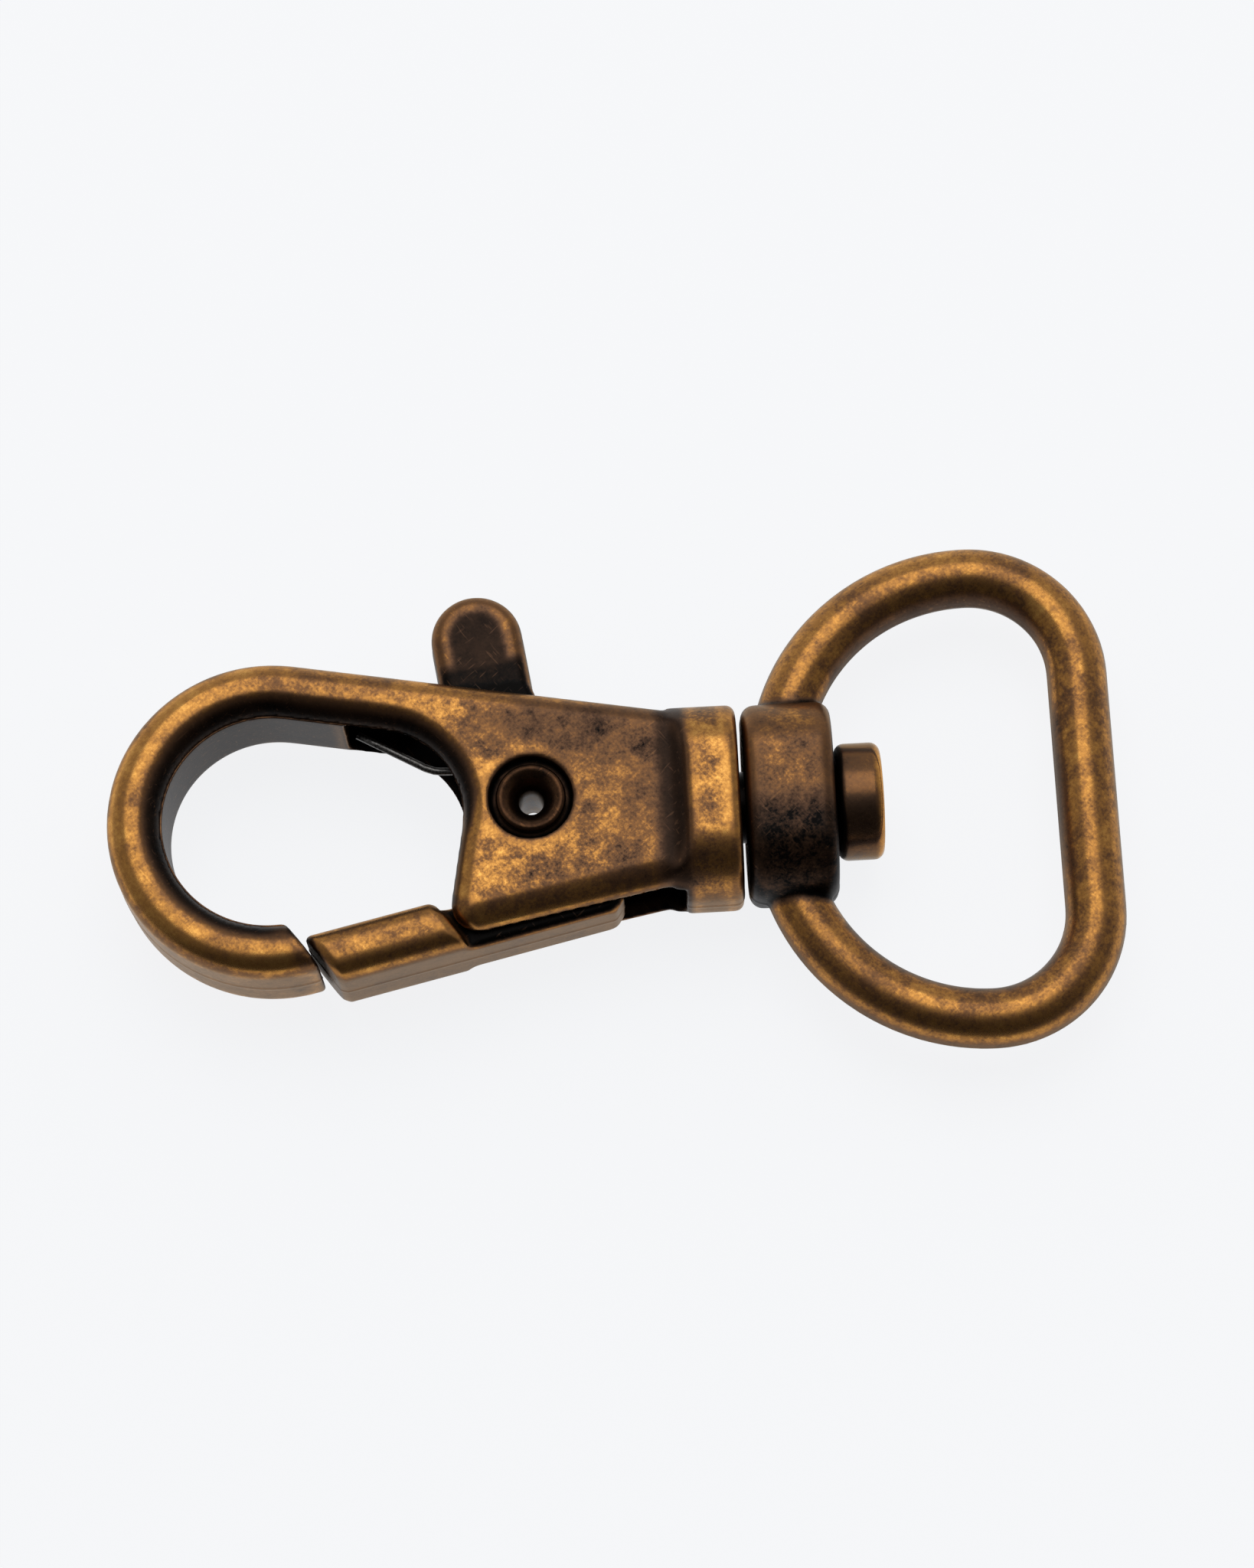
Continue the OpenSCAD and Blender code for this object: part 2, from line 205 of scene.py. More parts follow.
@dataclass(frozen=True)
class AntiqueBrass:
    """Brass plate, blackened and rubbed back on a tumbled zinc casting, under clear lacquer."""

    # To the eye: golden where it is rubbed, brown on open faces, black in hollows and specks, with a soft
    # pale sheen of lacquer. Real specks and rubbing marks are too fine to show in the render, so speck,
    # scratch and cross are drawn coarser than they are.
    name: str
    worn: str = "#DFA550"
    brass: str = "#B27A34"
    brown: str = "#764D24"
    umber: str = "#4A2F1A"
    soot: str = "#0C0A09"
    stops: tuple[float, ...] = (0.02, 0.3, 0.54, 0.8, 0.97)
    glint: str = "#E9D7BC"
    glint_black: str = "#FFFFFF"
    glint_over: Span = (0.7, 0.95)
    rough_worn: float = 0.2
    rough_black: float = 0.5
    rough_over: Span = (0.1, 0.9)
    coat_worn: float = 0.6
    coat_black: float = 0.06
    coat_over: Span = (0.7, 1.0)
    coat_rough: float = 0.42
    coat_ior: float = 1.5
    cloud: Layer = Layer(2.2, 2.0, 0.5, 1.9)
    mottle: Layer = Layer(0.6, 4.0, 0.7, 2.2)
    speck: Layer = Layer(0.16, 2.0, 0.6, 1.3)
    scratch: Layer = Layer(0.14, 1.0, 0.5, 0.4, turn=0.7, run=25 / 3)
    cross: Layer = Layer(0.14, 1.0, 0.5, 0.4, turn=-0.9, run=25 / 3)
    line_over: Span = (0.66, 0.74)
    line_depth: float = 0.1
    bump_mm: float = 0.01
    bump_strength: float = 0.35
    bump_scratch: float = 0.5

    def material(self) -> bpy.types.Material:
        """Builds the material, whose tone runs from 0 for worn brass to 1 for soot.

        Returns:
            The finished material.
        """
        made = blank_material(self.name)
        tree = made.node_tree
        place = add(tree, "TexCoord").outputs["Object"]
        patina = add(tree, "Attribute", {"attribute_name": PATINA_AND_PAINTED_LIGHT}).outputs["Fac"]
        grain = add(tree, "Attribute", {"attribute_name": GRAIN}).outputs["Fac"]
        layers = (self.cloud, self.mottle, self.speck, self.scratch, self.cross)
        values = []
        for layer in layers:
            laid = add(tree, "Mapping", {
                "vector_type": "TEXTURE", "Rotation": (0, 0, layer.turn), "Scale": (layer.run, 1, 1)},
                {"Vector": place})
            noise = add(tree, "TexNoise", {
                "Scale": per_metre(layer.size_mm), "Detail": layer.detail, "Roughness": layer.rough},
                {"Vector": laid.outputs["Vector"]})
            values.append(noise.outputs["Fac"])
        # Noise lies about 0.5, so half the layers' sway brings their middle to 0
        middle = sum(layer.sway for layer in layers) / 2
        sway = add(tree, "Math", {"operation": "MULTIPLY_ADD", 1: layers[0].sway, 2: -middle}, {
            0: values[0]})
        for layer, value in zip(layers[1:], values[1:]):
            sway = add(tree, "Math", {"operation": "MULTIPLY_ADD", 1: layer.sway}, {
                0: value, 2: sway.outputs[0]})
        tone = add(tree, "Math", {"operation": "MULTIPLY_ADD"}, {0: sway.outputs[0], 1: grain, 2: patina})
        _, mottle, _, *marks = values
        for mark in marks:
            line = add(tree, "MapRange", {
                "From Min": self.line_over[0], "From Max": self.line_over[1], "To Max": self.line_depth},
                {"Value": mark})
            tone = add(tree, "Math", {"operation": "SUBTRACT"}, {
                0: tone.outputs[0], 1: line.outputs["Result"]})
        shades = (self.worn, self.brass, self.brown, self.umber, self.soot)
        glints = (self.glint, self.glint_black)
        colour, glint = (
            add(tree, "ValToRGB", {"stops": list(zip(places, colours))}, {"Fac": tone.outputs[0]})
            for places, colours in ((self.stops, shades), (self.glint_over, glints)))
        rough, coat = (
            add(tree, "MapRange", {"From Min": low, "From Max": high, "To Min": worn, "To Max": black}, {
                "Value": tone.outputs[0]})
            for (low, high), worn, black in (
                (self.rough_over, self.rough_worn, self.rough_black),
                (self.coat_over, self.coat_worn, self.coat_black)))
        height = add(tree, "Math", {"operation": "MULTIPLY_ADD", 1: self.bump_scratch}, {
            0: marks[0], 2: mottle})
        bump = add(tree, "Bump", {"Strength": self.bump_strength, "Distance": self.bump_mm * MM}, {
            "Height": height.outputs[0]})
        shader = add(tree, "BsdfPrincipled", {
            "Metallic": 1.0, "Coat Roughness": self.coat_rough, "Coat IOR": self.coat_ior}, {
            "Base Color": colour.outputs["Color"], "Roughness": rough.outputs["Result"],
            "Specular Tint": glint.outputs["Color"], "Coat Weight": coat.outputs["Result"],
            "Normal": bump.outputs["Normal"]})
        add(tree, "OutputMaterial", {}, {"Surface": shader.outputs["BSDF"]})
        return made


@dataclass(frozen=True)
class SpringSteel:
    """Oil-tempered spring wire."""

    # To the eye: dark grey with a faint mottle of oxide, which is drawn coarser than it is so that it shows
    name: str
    pale: str = "#7C7A78"
    dark: str = "#3B3937"
    shade_over: Span = (0.3, 0.7)
    oxide_mm: float = 0.12
    oxide_detail: float = 3.0
    rough: Span = (0.25, 0.45)

    def material(self) -> bpy.types.Material:
        """Builds the material.

        Returns:
            The finished material.
        """
        made = blank_material(self.name)
        tree = made.node_tree
        place = add(tree, "TexCoord").outputs["Object"]
        oxide = add(tree, "TexNoise", {"Scale": per_metre(self.oxide_mm), "Detail": self.oxide_detail}, {
            "Vector": place}).outputs["Fac"]
        shades = list(zip(self.shade_over, (self.dark, self.pale)))
        colour = add(tree, "ValToRGB", {"stops": shades}, {"Fac": oxide})
        rough = add(tree, "MapRange", {"To Min": self.rough[0], "To Max": self.rough[1]}, {"Value": oxide})
        shader = add(tree, "BsdfPrincipled", {"Metallic": 1.0}, {
            "Base Color": colour.outputs["Color"], "Roughness": rough.outputs["Result"]})
        add(tree, "OutputMaterial", {}, {"Surface": shader.outputs["BSDF"]})
        return made


@dataclass
class Skin:
    """A mesh's points, normals and edges as arrays in millimetres, to read where it is hollow or ridged."""

    points: np.ndarray
    normals: np.ndarray
    edges: np.ndarray

    @classmethod
    def of(cls, piece: bpy.types.Object, unit: float) -> "Skin":
        """Reads a piece's mesh.

        Args:
            piece: The object.
            unit: A millimetre in the mesh's own units.

        Returns:
            Its skin.
        """
        mesh = piece.data
        points = np.zeros(len(mesh.vertices) * 3)
        normals = np.zeros(len(mesh.vertices) * 3)
        edges = np.zeros(len(mesh.edges) * 2, int)
        mesh.vertices.foreach_get("co", points)
        mesh.vertices.foreach_get("normal", normals)
        mesh.edges.foreach_get("vertices", edges)
        return cls(points.reshape(-1, 3) / unit, normals.reshape(-1, 3), edges.reshape(-1, 2))

    def put(self, piece: bpy.types.Object) -> None:
        """Writes the points back to a mesh in millimetres."""
        piece.data.vertices.foreach_set("co", self.points.ravel())
        piece.data.update()

    def blurred(self, values: np.ndarray, passes: int) -> np.ndarray:
        """Averages values over neighbouring points.

        Args:
            values: One row for each point.
            passes: How many times.

        Returns:
            The averaged values.
        """
        count = len(self.points)
        ends = np.concatenate([self.edges[:, 0], self.edges[:, 1]])
        others = np.concatenate([self.edges[:, 1], self.edges[:, 0]])
        share = np.maximum(np.bincount(ends, minlength=count), 1)
        columns = values.reshape(count, -1).T.copy()
        for _ in range(passes):
            for i, column in enumerate(columns):
                near = np.bincount(ends, weights=column[others], minlength=count) / share
                columns[i] = (column + near) / 2
        return columns.T.reshape(values.shape)

    def hollow(self, passes: int) -> np.ndarray:
        """Gives how far averaging lifts each point, in millimetres: above 0 in hollows, below on ridges."""
        return np.einsum("ij,ij->i", self.blurred(self.points, passes) - self.points, self.normals)

    def level(self) -> np.ndarray:
        """Gives 1 on faces that lie flat and 0 on upright walls."""
        return np.abs(self.normals[:, 2])

    def off_pivot(self) -> np.ndarray:
        """Gives each point's distance from the rivet's axis."""
        return np.hypot(self.points[:, 0] - PIVOT[0], self.points[:, 1] - PIVOT[1])

    def facing(self, middle_x: float) -> np.ndarray:
        """Gives how squarely each point faces a middle on the X axis, seen from above.

        Args:
            middle_x: The middle's place along X.

        Returns:
            1 towards the middle, 0 across and -1 away.
        """
        inwards = np.stack([middle_x - self.points[:, 0], -self.points[:, 1]], 1)
        inwards /= np.linalg.norm(inwards, axis=1)[:, None] + TINY
        return np.einsum("ij,ij->i", inwards, self.normals[:, :2])


@dataclass(frozen=True)
class Tumbling:
    """How tumbling rubs a blackened piece, with Skin.hollow's lifts and Skin.blurred's passes."""

    passes: int = 30
    ridge: Span = (0.05, 0.16)
    hollow: Span = (0.012, 0.09)
    hollow_keeps: float = 0.6
    side: Span = (0.5, 0.15)
    # The margin is the strip of face beside a ridge, which is rubbed with it
    margin_ridge: Span = (0.025, 0.05)
    margin_passes: int = 70
    margin: Span = (0.1, 0.5)
    margin_lift: float = 0.04
    # Mottling is full on plain flat faces, and calmer elsewhere
    least_grain: float = 0.45
    plain: Span = (0.045, 0.01)
    face: Span = (0.2, 0.6)
    margin_calm: float = 0.6
    recess: Span = (0.66, 0.95)
    recess_calm: float = 0.85
    dark: Span = (0.5, 0.75)
    dark_calm: float = 0.45
    last_passes: int = 3


TUMBLING = Tumbling()


def deselect() -> None:
    """Deselects every object."""
    for other in bpy.context.selected_objects:
        other.select_set(False)


def pick(piece: bpy.types.Object) -> None:
    """Selects one object alone and makes it active.

    Args:
        piece: The object.
    """
    deselect()
    piece.select_set(True)
    bpy.context.view_layer.objects.active = piece


def edit_all(piece: bpy.types.Object) -> None:
    """Opens a piece in edit mode with its whole mesh selected.

    Args:
        piece: The object.
    """
    pick(piece)
    bpy.ops.object.mode_set(mode="EDIT")
    bpy.ops.mesh.select_all(action="SELECT")


def apply(piece: bpy.types.Object, kind: str, **settings: object) -> None:
    """Adds a modifier, sets it and applies it.

    Args:
        piece: The object.
        kind: The modifier's type.
        **settings: Its properties.
    """
    pick(piece)
    modifier = piece.modifiers.new(kind.lower(), kind)
    for key, value in settings.items():
        setattr(modifier, key, value)
    bpy.ops.object.modifier_apply(modifier=modifier.name)


@dataclass
class Piece:
    """One named piece that stands for a CAD node."""

    name: str
    node: str
    body: Body
    slot: Slot
    base_patina: float = 0.38
    wear: float = 0.3
    margin_wear: float = 0.0
    side_patina: float = 0.0
    mottling: float = 0.53

    def build(self) -> bpy.types.Object:
        """Makes the mesh in millimetres."""
        raise NotImplementedError

    def tone(self, skin: Skin) -> np.ndarray:
        """Gives how dark the open faces are: blackening, and on some pieces painted shade and highlights
        too.
        """
        return np.full(len(skin.points), self.base_patina)

    def recess(self, skin: Skin) -> np.ndarray:
        """Gives 1 where the piece stays dark, and 0 elsewhere: blackening never rubbed off, and painted
        shade in recesses.
        """
        return np.zeros(len(skin.points))

    def make(self, finish: bpy.types.Material) -> None:
        """Builds the piece, brings it to metres, ages it, dresses it and seats it in the frame.

        Args:
            finish: Its material.
        """
        piece = self.build()
        piece.name = piece.data.name = self.name
        piece.data.transform(Matrix.Scale(MM, 4))
        piece.data.update()
        self.age(piece)
        self.dress(piece, finish)
        self.seat(piece)
        LOG.info("%s: %d faces, rides on %s", self.name, len(piece.data.polygons), self.body.value)

    def age(self, piece: bpy.types.Object) -> None:
        """Writes how dark each point is, blackening with painted shade and highlights, and how mottled it is
        to the piece's attributes.

        Args:
            piece: The piece in metres.
        """
        rub = TUMBLING
        skin = Skin.of(piece, MM)
        bent = skin.hollow(rub.passes)
        keeps = self.tone(skin) - self.wear * smoothstep(*rub.ridge, -bent)
        keeps += rub.hollow_keeps * smoothstep(*rub.hollow, bent)
        keeps += self.side_patina * smoothstep(*rub.side, skin.level())
        recess = self.recess(skin)
        keeps = np.clip(np.maximum(keeps, recess), 0, 1)
        near_ridge = skin.blurred(smoothstep(*rub.margin_ridge, -bent), rub.margin_passes)
        margin = smoothstep(*rub.margin, near_ridge)
        keeps -= self.margin_wear * margin * (np.abs(bent) < rub.margin_lift)
        keeps = np.clip(keeps, 0, 1)
        plain = smoothstep(*rub.plain, np.abs(bent)) * smoothstep(*rub.face, skin.level())
        plain *= 1 - rub.margin_calm * margin
        grain = self.mottling * (rub.least_grain + (1 - rub.least_grain) * plain)
        grain *= 1 - rub.recess_calm * smoothstep(*rub.recess, recess)
        grain *= 1 - rub.dark_calm * smoothstep(*rub.dark, keeps)
        for name, values in ((PATINA_AND_PAINTED_LIGHT, keeps), (GRAIN, grain)):
            layer = piece.data.attributes.new(name, "FLOAT", "POINT")
            layer.data.foreach_set("value", skin.blurred(values, rub.last_passes).astype(np.float32))

    def dress(self, piece: bpy.types.Object, finish: bpy.types.Material) -> None:
        """Gives the piece its finish and smooth shading.

        Args:
            piece: The piece.
            finish: Its material.
        """
        piece.data.materials.clear()
        piece.data.materials.append(finish)
        pick(piece)
        bpy.ops.object.shade_smooth()

    def seat(self, piece: bpy.types.Object) -> None:
        """Rides the piece on its body in place of its CAD node.

        Args:
            piece: The piece.
        """
        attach(piece, self.body.value)
        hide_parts(self.node)


@dataclass
class Casting(Piece):
    """A die casting: its CAD solid's skin with the soft edges and filled corners that tumbling leaves."""

    voxel_mm: float = 0.12
    melt: int = 7
    soften: int = 20
    ease: float = 0.5
    edge_passes: int = 40
    edge_bend: Span = (6.0, 9.0)
    edge_blur: int = 4
    side_patina: float = 0.32
    seam_mm: float = 0.035
    seam_half: float = 0.12
    wall_level: Span = (0.35, 0.1)

    def soft(self, skin: Skin) -> np.ndarray:
        """Gives 1 where the edges are rubbed round, and 0 where they stay crisp."""
        return np.ones(len(skin.points))

    def mark_edges(self, piece: bpy.types.Object) -> str:
        """Weighs the points that lie on edges and in corners.

        Args:
            piece: The casting in millimetres.

        Returns:
            The vertex group's name.
        """
        skin = Skin.of(piece, 1.0)
        bend_by_voxel = np.abs(skin.hollow(self.edge_passes)) / self.voxel_mm**2
        sharp = smoothstep(*self.edge_bend, bend_by_voxel) * self.soft(skin)
        group = piece.vertex_groups.new(name="edges")
        for index, weight in enumerate(skin.blurred(sharp, self.edge_blur).tolist()):
            group.add((index,), weight, "REPLACE")
        return group.name

    def build(self) -> bpy.types.Object:
        """Copies the node's skin, joins its triangles, and melts its edges.

        Returns:
            The casting in millimetres.
        """
        source = frame["nodes"][self.node]
        piece = bpy.data.objects.new(self.name, source.data.copy())
        bpy.context.scene.collection.objects.link(piece)
        piece.data.transform(Matrix.Scale(1 / MM, 4))
        edit_all(piece)
        bpy.ops.mesh.customdata_custom_splitnormals_clear()
        bpy.ops.mesh.remove_doubles(threshold=WELD_MM)
        bpy.ops.object.mode_set(mode="OBJECT")
        apply(piece, "REMESH", mode="VOXEL", voxel_size=self.voxel_mm)
        apply(piece, "SMOOTH", factor=self.ease, iterations=self.melt)
        edges = self.mark_edges(piece)
        apply(piece, "SMOOTH", factor=self.ease, iterations=self.soften, vertex_group=edges)
        piece.vertex_groups.clear()
        self.raise_seam(piece)
        return piece

    def raise_seam(self, piece: bpy.types.Object) -> None:
        """Leaves the fine line of the mould's parting along the side walls' middle.

        Args:
            piece: The casting in millimetres.
        """
        skin = Skin.of(piece, 1.0)
        rise = self.seam_mm * np.exp(-((skin.points[:, 2] / self.seam_half) ** 2)) * self.walls(skin)
        skin.points += skin.normals * rise[:, None]
        skin.put(piece)

    def walls(self, skin: Skin) -> np.ndarray:
        """Gives 1 on the side walls, where the mould parted."""
        return smoothstep(*self.wall_level, skin.level())


@dataclass
class HookBody(Casting):
    """The forked hook with its loop, cheeks and collar."""

    # The rivet's seat, and how far round it edges stay crisp and it is kept dark, with blackening and
    # painted shade
    sink_r: float = 2.1
    sink_crisp: Span = (0.5, 0.7)
    sink_dark: Span = (0.2, -0.02)
    sink_rim: float = 0.01
    # The loop's opening, whose middle lies nearer the throat than the loop's own
    loop_mid: float = -17.175
    loop_in: float = 5.35
    loop_reach: float = 9.0
    throat_shift: float = 1.5
    throat_end: float = -3.9
    outer_facing: Span = (0.4, 0.1)
    # The bow runs round the loop and down to the throat's middle
    bow_x: Span = (-10.5, -9.0)
    bow_y: Span = (1.0, -2.0)
    bow_end: Span = (-2.0, -4.0)
    # The cheeks' lower edge as height and slope, and the bevels' widths and depths
    low_edge: Span = (-4.9684, 0.1886)
    low_run: Band = (-8.3, -7.0, 1.8, 3.0)
    low_bevel: Span = (1.28, 0.95)
    loop_bevel: Span = (1.05, 1.2)
    bevel_bow: float = 1.35
    thin: float = 0.08
    wall_facing: float = 0.8
    wall_lift: float = 0.1
    wall_half: float = 0.3
    # The cheeks' patina, which grows from the throat's foot by so much a millimetre
    cheek_run: Band = (-10.0, -7.0, 3.7, 3.9)
    cheek_patina: Span = (0.42, 0.27)
    cheek_foot: Span = (-8.0, -4.0)
    cheek_growth: Span = (0.06, 0.035)
    cheek_over: Span = (0.1, 0.85)
    spine_run: Band = (-8.5, -7.0, -1.5, 0.5)
    spine_y: float = 3.9
    spine_patina: float = 0.17
    # The collar's middle gets a painted highlight, a lighter band for the light on its rounded front
    collar_from: float = 3.8
    collar_fade: float = 0.1
    collar_mid: float = -0.4
    collar_half: float = 1.5
    collar_highlight: float = 0.05
    # Where the blackening stays, and where shade is painted
    slot_over: Span = (0.35, 0.05)
    slot_facing: Span = (0.2, 0.7)
    # The ramp's foot by the collar gets painted shade, almost soot
    ramp_shade_run: Band = (0.7, 2.7, 3.6, 3.9)
    ramp_shade: float = 0.92
    opening_facing: Span = (0.3, 0.85)
    bow_facing: Span = (0.14, 0.6)
    opening_keeps: float = 0.95
    tip_x: Span = (-17.0, -12.5)
    tip_y: float = -4.5
    tip_facing: float = 0.6
    tip_keeps: float = 0.85

    def build(self) -> bpy.types.Object:
        """Casts the hook and slopes the cheeks' lower edges and the loop's inner edge.

        Returns:
            The hook in millimetres.
        """
        piece = super().build()
        skin = Skin.of(piece, 1.0)
        x, y, z = skin.points.T
        height, slope = self.low_edge
        up = (y - height - slope * x) / math.hypot(1, slope)
        self.bevel(skin, up, self.low_bevel, band(self.low_run, x))
        beside_slot = np.abs(np.abs(z) - SLOT_HALF - self.wall_lift) < self.wall_half
        wall = (self.opening(skin) > self.wall_facing) & beside_slot
        tree = KDTree(int(wall.sum()))
        for index, (at_x, at_y) in enumerate(skin.points[wall, :2]):
            tree.insert((at_x, at_y, 0), index)
        tree.balance()
        away = np.array([tree.find((at_x, at_y, 0))[2] for at_x, at_y in skin.points[:, :2]])
        self.bevel(skin, away, self.loop_bevel, self.upper_bow(skin))
        skin.put(piece)
        return piece

    def bevel(self, skin: Skin, away: np.ndarray, size: Span, share: np.ndarray) -> None:
        """Slopes both faces down towards an edge.

        Args:
            skin: The hook's skin, whose points are moved.
            away: Each point's distance from the edge.
            size: The slope's width and depth.
            share: How much of the slope each point takes.
        """
        depth = np.abs(skin.points[:, 2])
        steep = np.clip(1 - away / size[0], 0, 1) ** self.bevel_bow
        top = np.maximum(BODY_HALF - size[1] * (1 - np.sqrt(1 - steep)), SLOT_HALF + self.thin)
        drop = share * (depth > SLOT_HALF) * np.minimum(top - depth, 0)
        skin.points[:, 2] += np.sign(skin.points[:, 2]) * drop

    def opening(self, skin: Skin) -> np.ndarray:
        """Finds the wall of the loop's opening.

        Args:
            skin: The hook's skin.

        Returns:
            1 on the wall, falling to 0 on faces that lie flat.
        """
        x, y, _ = skin.points.T
        near = (np.hypot(x - self.loop_mid, y) < self.loop_in + self.loop_reach) * (x < self.throat_end)
        return skin.facing(self.loop_mid + self.throat_shift) * near

    def upper_bow(self, skin: Skin) -> np.ndarray:
        """Finds the bow.

        Args:
            skin: The hook's skin.

        Returns:
            1 round the loop and down to the throat's middle, and 0 below that.
        """
        x, y, _ = skin.points.T
        below = smoothstep(*self.bow_x, x) * smoothstep(*self.bow_y, y)
        return (1 - below) * smoothstep(*self.bow_end, x)

    def walls(self, skin: Skin) -> np.ndarray:
        """Gives 1 on the outer side walls alone."""
        return super().walls(skin) * smoothstep(*self.outer_facing, self.opening(skin))

    def soft(self, skin: Skin) -> np.ndarray:
        """Keeps the rivet's seats crisp."""
        start, stop = self.sink_crisp
        return smoothstep(self.sink_r + start, self.sink_r + stop, skin.off_pivot())

    def tone(self, skin: Skin) -> np.ndarray:
        """Rubs the cheeks brightest by the throat's foot and leaves them darker up towards the collar, and
        paints a highlight across the collar's middle.

        Args:
            skin: The hook's skin.

        Returns:
            How much blackening the open faces keep, less the painted highlight on the collar.
        """
        x, y, _ = skin.points.T
        (foot_x, foot_y), (along, across) = self.cheek_foot, self.cheek_growth
        up = (x - foot_x) * along + (y - foot_y) * across
        cheek = self.cheek_patina[0] + self.cheek_patina[1] * smoothstep(*self.cheek_over, up)
        cheek += self.spine_patina * np.exp(-((y - self.spine_y) ** 2)) * band(self.spine_run, x)
        share = band(self.cheek_run, x)
        # Painted highlight: a lighter band across the collar's middle
        rub_and_highlight = self.collar_highlight * np.exp(-(((y - self.collar_mid) / self.collar_half) ** 2))
        rub_and_highlight *= smoothstep(self.collar_from - self.collar_fade, self.collar_from + self.collar_fade, x)
        return cheek * share + self.base_patina * (1 - share) - rub_and_highlight

    def recess(self, skin: Skin) -> np.ndarray:
        """Keeps the opening's wall and the tip's end dark, darkens the slot and the rivet's seats with
        blackening and painted shade, and paints shade over the ramp's foot.

        Args:
            skin: The hook's skin.

        Returns:
            How dark each of these places is, and 0 elsewhere.
        """
        x, y, z = skin.points.T
        depth = np.abs(z)
        # Blackening with painted shade: the slot's inner faces and the rivet's seats are darkened as if out
        # of the light
        in_slot = smoothstep(SLOT_HALF + self.slot_over[0], SLOT_HALF + self.slot_over[1], depth)
        in_slot *= smoothstep(*self.slot_facing, -np.sign(z) * skin.normals[:, 2])
        out, into = self.sink_dark
        in_sink = smoothstep(self.sink_r + out, self.sink_r + into, skin.off_pivot())
        in_sink *= depth < BODY_HALF + self.sink_rim
        # Painted shade: the cove at the ramp's foot is darkened almost to soot
        shade_by_ramp = band(self.ramp_shade_run, x) * self.ramp_shade
        bow = self.upper_bow(skin)
        low, high = (
            plain + (on_bow - plain) * bow for plain, on_bow in zip(self.opening_facing, self.bow_facing))
        in_loop = smoothstep(low, high, self.opening(skin)) * self.opening_keeps
        at_tip = (x > self.tip_x[0]) * (x < self.tip_x[1]) * (y < self.tip_y) * self.tip_keeps
        at_tip *= skin.normals[:, 0] > self.tip_facing
        return np.maximum.reduce([in_slot, in_sink, shade_by_ramp, in_loop, at_tip])


@dataclass
class Trigger(Casting):
    """The one-piece trigger: thumb tab, lever and gate."""

    wear: float = 0.2
    flat: float = 0.7
    # The thumb tab's round end, its lean in degrees, the blackening inside its rim, and the painted shadow
    # at its root
    tab_mid: Span = (-6.475, 9.1)
    tab_r: float = 2.3
    tab_lean: float = 8.0
    tab_y: Span = (4.0, 5.0)
    tab_patina: float = 0.2
    tab_rim: Span = (0.4, 1.1)
    tab_keeps: float = 0.92
    root_shadow_over: Span = (0.2, 1.7)
    root_shadow_keeps: float = 0.96
    # The lever between the cheeks, whose sides get painted shade, and the gate's end
    web_half: float = 1.95
    web_slack: float = 0.1
    web_top: float = 6.6
    end_facing: float = -0.6
    end_top: float = -3.0
    end_keeps: float = 0.85

    def tone(self, skin: Skin) -> np.ndarray:
        """Leaves the tab darker than the gate."""
        return self.base_patina + self.tab_patina * smoothstep(*self.tab_y, skin.points[:, 1])

    def recess(self, skin: Skin) -> np.ndarray:
        """Keeps the tab's middle and the gate's end dark, and paints shadow at the tab's root and shade on
        the lever's sides.

        Args:
            skin: The trigger's skin.

        Returns:
            How dark each of these places is, and 0 elsewhere.
        """
        x, y, z = skin.points.T
        lean = math.radians(self.tab_lean)
        right, rise = x - self.tab_mid[0], y - self.tab_mid[1]
        down = right * math.sin(lean) - rise * math.cos(lean)
        across = right * math.cos(lean) + rise * math.sin(lean)
        from_mid = np.hypot(across, np.minimum(down, 0))
        flat = skin.level() > self.flat
        in_tab = smoothstep(self.tab_r - self.tab_rim[0], self.tab_r - self.tab_rim[1], from_mid)
        in_tab *= flat * self.tab_keeps
        # Painted shadow along the tab's root, below the cheek's edge
        root_shadow = smoothstep(*self.root_shadow_over, down) * (y > self.tab_y[1]) * flat * self.root_shadow_keeps
        # Painted shade: the lever's sides between the cheeks are made black
        web_shade = flat * (np.abs(z) < self.web_half + self.web_slack) * (y < self.web_top)
        at_end = (skin.normals[:, 0] < self.end_facing) * (y < self.end_top) * self.end_keeps
        return np.maximum.reduce([in_tab, root_shadow, web_shade, at_end])


